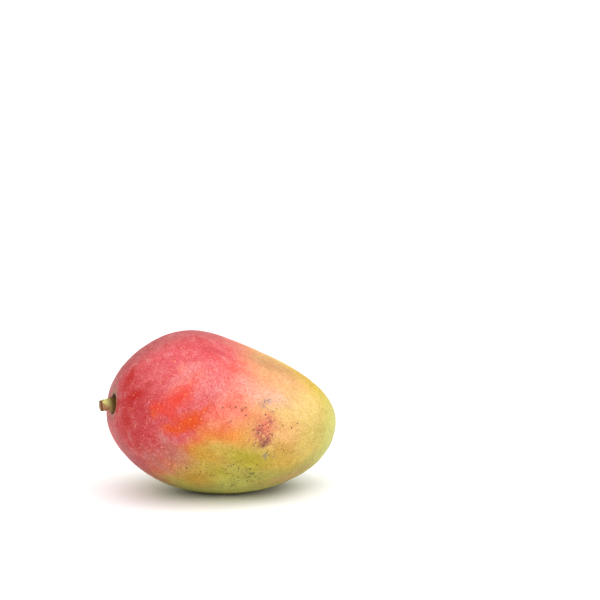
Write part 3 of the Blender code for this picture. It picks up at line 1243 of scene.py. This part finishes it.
@dataclass(frozen=True)
class Fruit:
    """The mango without its stem: one closed skin, with the pit and the stem's socket."""

    form: MangoForm
    lie: Lie
    rings: int = 296
    segments: int = 320
    end_crowding: float = 0.2
    socket_radius: float = 4.3 * MM
    socket_depth: float = 1.5 * MM
    socket_rings: tuple[Span, ...] = (
        (0.0, 1.0),
        (0.5, 1.0),
        (0.97, 1.0),
        (1.0, 0.6),
        (1.0, 0.2),
        (1.04, 0.04),
    )
    skin_start: float = 1.12
    crowding_start: float = 0.5
    round_reach: float = 9.0 * MM
    hold_back: float = 0.08 * MM
    ripples: tuple[Ripple, ...] = (
        Ripple(0.05 * MM, 6 * MM, 14 * MM, 24, seed=5),
        Ripple(0.02 * MM, 2.4 * MM, 5 * MM, 40, seed=6),
    )
    lip_radius: float = 5.6 * MM
    lip_width: float = 0.8 * MM
    lip_height: float = 0.22 * MM
    puckers: int = 17
    pucker_radius: float = 7.6 * MM
    pucker_width: float = 2.0 * MM
    pucker_height: float = 0.10 * MM
    pucker_sway: tuple[Span, ...] = ((1.8, 2.0), (1.0, 5.0))
    style_radius: float = 1.1 * MM
    style_depth: float = 0.25 * MM

    def places(self) -> tuple[Array, Array]:
        """Where the rings lie, and how deep each is sunk.

        The first rings are the socket's floor and wall, each by its share of the rim's place
        and of the socket's depth. The others follow the skin, drawn closer at both ends.

        Returns:
            The rings' distances from the stem end as angles, and their depths in the socket.
        """
        mean_girth = (self.form.breadth + self.form.height) / 4
        mean_girth *= 1.0 - (self.form.breadth_taper + self.form.height_taper) / 2
        rim = math.asin(self.socket_radius / mean_girth)
        share, sunk = np.array(self.socket_rings).T
        rest = np.linspace(rim * self.skin_start, math.pi, self.rings - len(share))
        crowding = self.end_crowding * ease((rest - rim) / self.crowding_start)
        rest = rest - crowding * np.sin(2.0 * rest)
        depth = np.concatenate((sunk * self.socket_depth, np.zeros(len(rest))))
        return np.concatenate((share * rim, rest)), depth

    def points(self, stem_way: Array) -> Array:
        """The skin's points in the model's frame.

        Args:
            stem_way: the direction of the stem in the fruit's own frame.

        Returns:
            Rings of shape (rings, segments, 3), from the socket's floor to the tip.
        """
        from_stem, depth = self.places()
        along = -np.cos(from_stem)[:, None]
        angle = np.linspace(0.0, math.tau, self.segments, endpoint=False)[None]
        points = self.form.skin(along, angle)

        aside = points[..., 1:]
        radius = np.linalg.norm(aside, axis=-1, keepdims=True)
        ring = radius.mean(1, keepdims=True)
        drawn = bell(ring, self.round_reach) * (along < 0.0)[..., None]
        points[..., 1:] = aside * (1.0 + drawn * (ring / np.maximum(radius, 1e-9) - 1.0))

        calm = 1.0 - bell(ring[..., 0], self.round_reach) * (along < 0.0)
        relief = calm * sum(ripple.at(points) for ripple in self.ripples) - self.hold_back
        relief = relief + self.scar_relief(points, along)
        points += relief[..., None] * self.form.outward(points)
        points -= depth[:, None, None] * stem_way
        return self.lie.settle(points)

    def scar_relief(self, points: Array, along: Array) -> Array:
        """The lip and the puckers round the stem, and the dimple where the flower's style stood.

        The lip is a bell about its own radius. The puckers are a sine of the angle, which
        slower sines sway, under a bell about theirs. The dimple is a bell about the style's place.

        Args:
            points: the skin's points in the fruit's own frame, of shape (rings, segments, 3).
            along: their places along the fruit, of shape (rings, 1).

        Returns:
            How far each point moves out, of shape (rings, segments).
        """
        aside = np.hypot(points[..., 1], points[..., 2])
        angle = np.arctan2(points[..., 2], points[..., 1])
        lip = self.lip_height * bell(aside - self.lip_radius, self.lip_width)
        sway = sum(reach * np.sin(turns * angle) for reach, turns in self.pucker_sway)
        wave = np.sin(self.puckers * angle + sway)
        pucker = self.pucker_height * wave * bell(aside - self.pucker_radius, self.pucker_width)
        top = self.form.skin(np.array(self.form.style_at), np.array(self.form.sinus_angle))
        dimple = bell(np.linalg.norm(points - top, axis=-1), self.style_radius)
        return np.where(along < 0.0, lip + pucker, -self.style_depth * dimple)

    def build(self, stem_way: Array) -> bpy.types.Object:
        """Makes the skin, which stands for the solid fruit."""
        piece = rounded_mesh("mango_skin", self.points(stem_way))
        finish = SkinFinish(self.form, self.lie)
        piece.data.materials.append(finish.material())
        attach(piece, BODY)
        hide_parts("fruit")
        return piece


@dataclass(frozen=True)
class Knob:
    """A rounded bump on the stem, where a flower stalk broke off."""

    out: float
    angle: float
    radius: float
    height: float

    def at(self, out: Array, angle: Array, girth: float) -> Array:
        """The bump's height at each place: a bell over the distance from its top."""
        turn = np.remainder(angle - self.angle + math.pi, math.tau) - math.pi
        return self.height * bell(np.hypot(out - self.out, turn * girth), self.radius)


@dataclass(frozen=True)
class Ridges:
    """Ridges along the stem: height * cos(lobes * angle + twist * out + start).

    The height is in millimetres, and the twist is per millimetre out.
    """

    height: float
    lobes: int
    twist: float
    start: float

    def at(self, out: Array, angle: Array) -> Array:
        """The ridges' height at each place."""
        return self.height * np.cos(self.lobes * angle + self.twist * out + self.start)


@dataclass(frozen=True)
class Stem:
    """The stub of the stem: its root, collar, knobbly neck and slanting, dished cut."""

    form: MangoForm
    lie: Lie
    dip: float = math.radians(5.4)
    length: float = 7.3 * MM
    root: float = 1.2 * MM
    root_taper: float = 0.35 * MM
    collar_radius: float = 3.9 * MM
    collar_top: float = 0.4 * MM
    flare: float = 1.5 * MM
    shaft_radius: float = 3.0 * MM
    shaft_taper: float = 0.32 * MM
    bevel: float = 0.6 * MM
    slant: float = math.radians(2)
    slant_start: float = 3.5 * MM
    lift: float = 0.8 * MM
    lift_start: float = -0.4 * MM
    lift_end: float = 3.2 * MM
    dish: float = 0.3 * MM
    pith_radius: float = 0.5 * MM
    pith_depth: float = 0.25 * MM
    wood_ring: float = 1.9 * MM
    wood_ring_width: float = 0.3 * MM
    wood_ring_height: float = 0.10 * MM
    knobs: tuple[Knob, ...] = (
        Knob(3.0 * MM, math.radians(70), 0.9 * MM, 0.36 * MM),
        Knob(4.9 * MM, math.radians(-100), 0.9 * MM, 0.42 * MM),
        Knob(2.9 * MM, math.radians(-40), 0.9 * MM, 0.34 * MM),
        Knob(2.3 * MM, math.radians(190), 0.8 * MM, 0.30 * MM),
        Knob(6.0 * MM, math.radians(-20), 0.8 * MM, 0.28 * MM),
        Knob(5.4 * MM, math.radians(20), 0.7 * MM, 0.24 * MM),
    )
    ridges: tuple[Ridges, ...] = (
        Ridges(0.050, 5, 0.25, 0.0),
        Ridges(0.040, 3, -0.2, 2.0),
        Ridges(0.025, 9, 0.0, 1.0),
        Ridges(0.030, 2, 0.0, 0.5),
    )
    wrinkle_height: float = 0.05
    wrinkle_pace: float = 7.0
    wrinkle_sway: float = 0.6
    wrinkle_lobes: int = 3
    wrinkle_at: float = 1.8
    wrinkle_reach: float = 1.0
    bevel_turn: float = 0.96
    groove_fade: float = 8.0
    bark: Ripple = Ripple(0.05 * MM, 0.5 * MM, 1.6 * MM, 60, seed=8)
    grooves: Ripple = Ripple(0.03 * MM, 0.25 * MM, 0.7 * MM, 60, seed=9)
    segments: int = 176
    side_rings: int = 150
    cut_rings: int = 48

    def seat(self) -> Matrix:
        """The stem's frame in the model's: at the pit's floor, Z out along the stem."""
        floor = self.form.skin(np.array(-1.0), np.array(0.0))
        turn = Matrix.Rotation(-(math.pi / 2 + self.dip), 4, "Y")
        return Matrix.Translation(self.lie.matrix() @ Vector(floor)) @ turn

    def way(self) -> Array:
        """The stem's direction in the fruit's own frame."""
        turn = self.lie.matrix().to_3x3().inverted() @ self.seat().to_3x3()
        return np.array(turn.col[2])

    def side_radius(self, out: Array, angle: Array) -> Array:
        """How far the side stands from the axis.

        The shaft tapers to the cut, flares to the collar by a bell of the height above it,
        narrows to the root, and is rounded by most of a quarter circle at the cut. The ridges are
        cosines of the angle, a sine of the height wrinkles the neck, and the knobs are added.

        Args:
            out: heights along the stem.
            angle: angles round it.

        Returns:
            The radius for each height and angle.
        """
        above = np.maximum(out - self.collar_top, 0.0)
        radius = self.shaft_radius + (self.collar_radius - self.shaft_radius) * bell(above, self.flare)
        radius = radius - self.root_taper * ease(-out / self.root)
        radius = radius + self.shaft_taper * (1.0 - 2.0 * ease(out / self.length)) * ease(out / MM)
        high = out / MM
        ridges = sum(each.at(high, angle) for each in self.ridges)
        sway = self.wrinkle_sway * np.sin(self.wrinkle_lobes * angle)
        wrinkles = np.sin(self.wrinkle_pace * high + sway) * self.wrinkle_height
        wrinkles = wrinkles * bell(high - self.wrinkle_at, self.wrinkle_reach)
        radius = radius + ease(high) * (ridges + wrinkles) * MM
        radius = radius + sum(knob.at(out, angle, self.shaft_radius) for knob in self.knobs)
        turned = np.clip((out - (self.length - self.bevel)) / self.bevel, 0.0, 1.0)
        return radius - self.bevel * (1.0 - np.sqrt(1.0 - self.bevel_turn * turned**2))

    def points(self) -> Array:
        """The stub's points in the model's frame.

        The side is the radius carried round the axis. The cut slants from full length at one
        side, and is a shallow dish with a raised ring of wood and a sunken pith. Past the collar
        the axis steps up by the lift.

        Returns:
            Rings of shape (rings, segments, 3), from the root's middle to the cut's.
        """
        angle = np.linspace(0.0, math.tau, self.segments, endpoint=False)[None]
        out = np.linspace(-self.root, self.length, self.side_rings)[:, None]
        side = self.side_radius(out, angle)
        shrink = np.linspace(1.0, 0.0, self.cut_rings + 1)[1:, None]
        cut_radius = side[-1:] * shrink
        cut_out = self.length - self.dish * (1.0 - shrink**2) + 0.0 * angle
        cut_out = cut_out - self.pith_depth * bell(cut_radius, self.pith_radius)
        cut_out = cut_out + self.wood_ring_height * bell(
            cut_radius - self.wood_ring, self.wood_ring_width
        )

        radius = np.concatenate((0.0 * side[:1], side, cut_radius))
        height = np.concatenate((out[:1] + 0.0 * angle, out + 0.0 * angle, cut_out))
        rings = np.stack((radius * np.cos(angle), radius * np.sin(angle), height), axis=-1)

        rough = ease(height / MM)
        swell = self.bark.at(rings) * rough
        rings[..., 0] += swell * np.cos(angle)
        rings[..., 1] += swell * np.sin(angle)
        on_cut = np.zeros((len(rings), 1))
        on_cut[-self.cut_rings:] = 1.0
        inside = ease((1.0 - radius / self.shaft_radius) * self.groove_fade)
        rings[..., 2] += on_cut * inside * self.grooves.at(rings)
        slope = (rings[..., 0] + self.shaft_radius) * math.tan(self.slant)
        rings[..., 2] -= slope * ease((height - self.slant_start) / (self.length - self.slant_start))
        free = (height - self.lift_start) / (self.lift_end - self.lift_start)
        rings[..., 0] += self.lift * ease(free)
        matrix = np.array(self.seat())
        return rings @ matrix[:3, :3].T + matrix[:3, 3]

    def build(self) -> bpy.types.Object:
        """Makes the stub, which stands for the solid stem."""
        piece = rounded_mesh("mango_stem", self.points())
        lifted = self.seat() @ Matrix.Translation((self.lift, 0.0, 0.0))
        cut_radius = self.shaft_radius - self.shaft_taper
        finish = BarkFinish(lifted, self.length, self.slant, cut_radius)
        piece.data.materials.append(finish.material())
        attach(piece, BODY)
        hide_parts("stem")
        return piece


@dataclass(frozen=True)
class Softbox:
    """A broad far light, given by its direction from the object and by how wide it looks."""

    name: str
    azimuth: float
    elevation: float
    width: float
    strength: float

    def build(self) -> None:
        """Hangs the light."""
        light = bpy.data.lights.new(self.name, "SUN")
        light.angle = math.radians(self.width)
        light.energy = self.strength
        lamp = bpy.data.objects.new(self.name, light)
        away = direction(self.azimuth, self.elevation)
        lamp.rotation_euler = away.to_track_quat("Z", "Y").to_euler()
        bpy.context.scene.collection.objects.link(lamp)


def direction(azimuth: float, elevation: float) -> Vector:
    """The way back to a viewer who looks along +Y at azimuth 0; both angles in degrees."""
    turn, rise = math.radians(azimuth), math.radians(elevation)
    level = math.cos(rise)
    return Vector((math.sin(turn) * level, -math.cos(turn) * level, math.sin(rise)))


@dataclass(frozen=True)
class Studio:
    """A white floor, a soft sky, two softboxes and the camera at the photograph's angle."""

    azimuth: float = -18.0
    elevation: float = 10.0
    distance: float = 1.30
    target: Vector = field(default_factory=lambda: Vector((0.0395, -0.0121, 0.0973)))
    focal_pixels: float = 2600.0
    frame_pixels: float = 600.0
    sensor: float = 36.0
    floor_size: float = 60.0
    floor_colour: Colour = (0.9, 0.9, 0.9)
    floor_roughness: float = 0.9
    sky_colour: Colour = (1.0, 1.0, 1.0)
    sky_low: float = 0.40
    sky_high: float = 1.25
    sky_height: float = 0.80
    lights: tuple[Softbox, ...] = (
        Softbox("key", 18.0, 60.0, 100.0, 1.55),
        Softbox("side", 78.0, 46.0, 32.0, 0.40),
    )

    def build(self) -> None:
        """Sets up the whole studio."""
        self.floor()
        self.world()
        for light in self.lights:
            light.build()
        self.camera()

    def floor(self) -> None:
        """The plain pale floor."""
        bench = Bench(bpy.data.materials.new("studio_floor"))
        paint = {"Base Color": self.floor_colour, "Roughness": self.floor_roughness}
        surface = bench.node("BsdfPrincipled", {}, paint).outputs[0]
        bench.node("OutputMaterial", {}, {"Surface": surface})
        half = self.floor_size / 2
        corners = ((-half, -half, 0.0), (half, -half, 0.0), (half, half, 0.0), (-half, half, 0.0))
        mesh = bpy.data.meshes.new("studio_floor")
        mesh.from_pydata(corners, [], [(0, 1, 2, 3)])
        mesh.materials.append(bench.owner)
        floor = bpy.data.objects.new("studio_floor", mesh)
        bpy.context.scene.collection.objects.link(floor)

    def world(self) -> None:
        """A white sky, brighter overhead than near the horizon."""
        bench = Bench(bpy.data.worlds.new("studio_sky"))
        _, _, height = bench.parts(bench.node("TexCoord", {}, {}).outputs["Generated"])
        span = {
            "Value": height,
            "From Max": self.sky_height,
            "To Min": self.sky_low,
            "To Max": self.sky_high,
        }
        glow = bench.node("MapRange", {"interpolation_type": "SMOOTHSTEP"}, span).outputs[0]
        sky = bench.node("Background", {}, {"Color": self.sky_colour, "Strength": glow})
        bench.node("OutputWorld", {}, {"Surface": sky.outputs[0]})
        bpy.context.scene.world = bench.owner
        bpy.context.scene.view_settings.view_transform = "Standard"

    def camera(self) -> None:
        """The camera, aimed at its target with no shift and no depth of field."""
        lens = bpy.data.cameras.new("camera")
        lens.sensor_width = self.sensor
        lens.lens = self.focal_pixels * self.sensor / self.frame_pixels
        lens.clip_end = self.floor_size
        camera = bpy.data.objects.new("camera", lens)
        away = direction(self.azimuth, self.elevation)
        camera.location = self.target + away * self.distance
        camera.rotation_euler = away.to_track_quat("Z", "Y").to_euler()
        bpy.context.scene.collection.objects.link(camera)
        bpy.context.scene.camera = camera


def main() -> None:
    """Builds the studio, the stem and the fruit, and reports each piece."""
    logging.basicConfig(level=logging.INFO, format="%(name)s: %(message)s")
    Studio().build()
    form = MangoForm()
    lie = Lie.of_solid(form)
    stem = Stem(form, lie)
    fruit = Fruit(form, lie)
    for piece in (stem.build(), fruit.build(stem.way())):
        LOG.info("%s: %d points", piece.name, len(piece.data.vertices))


if __name__ == "__main__":
    main()
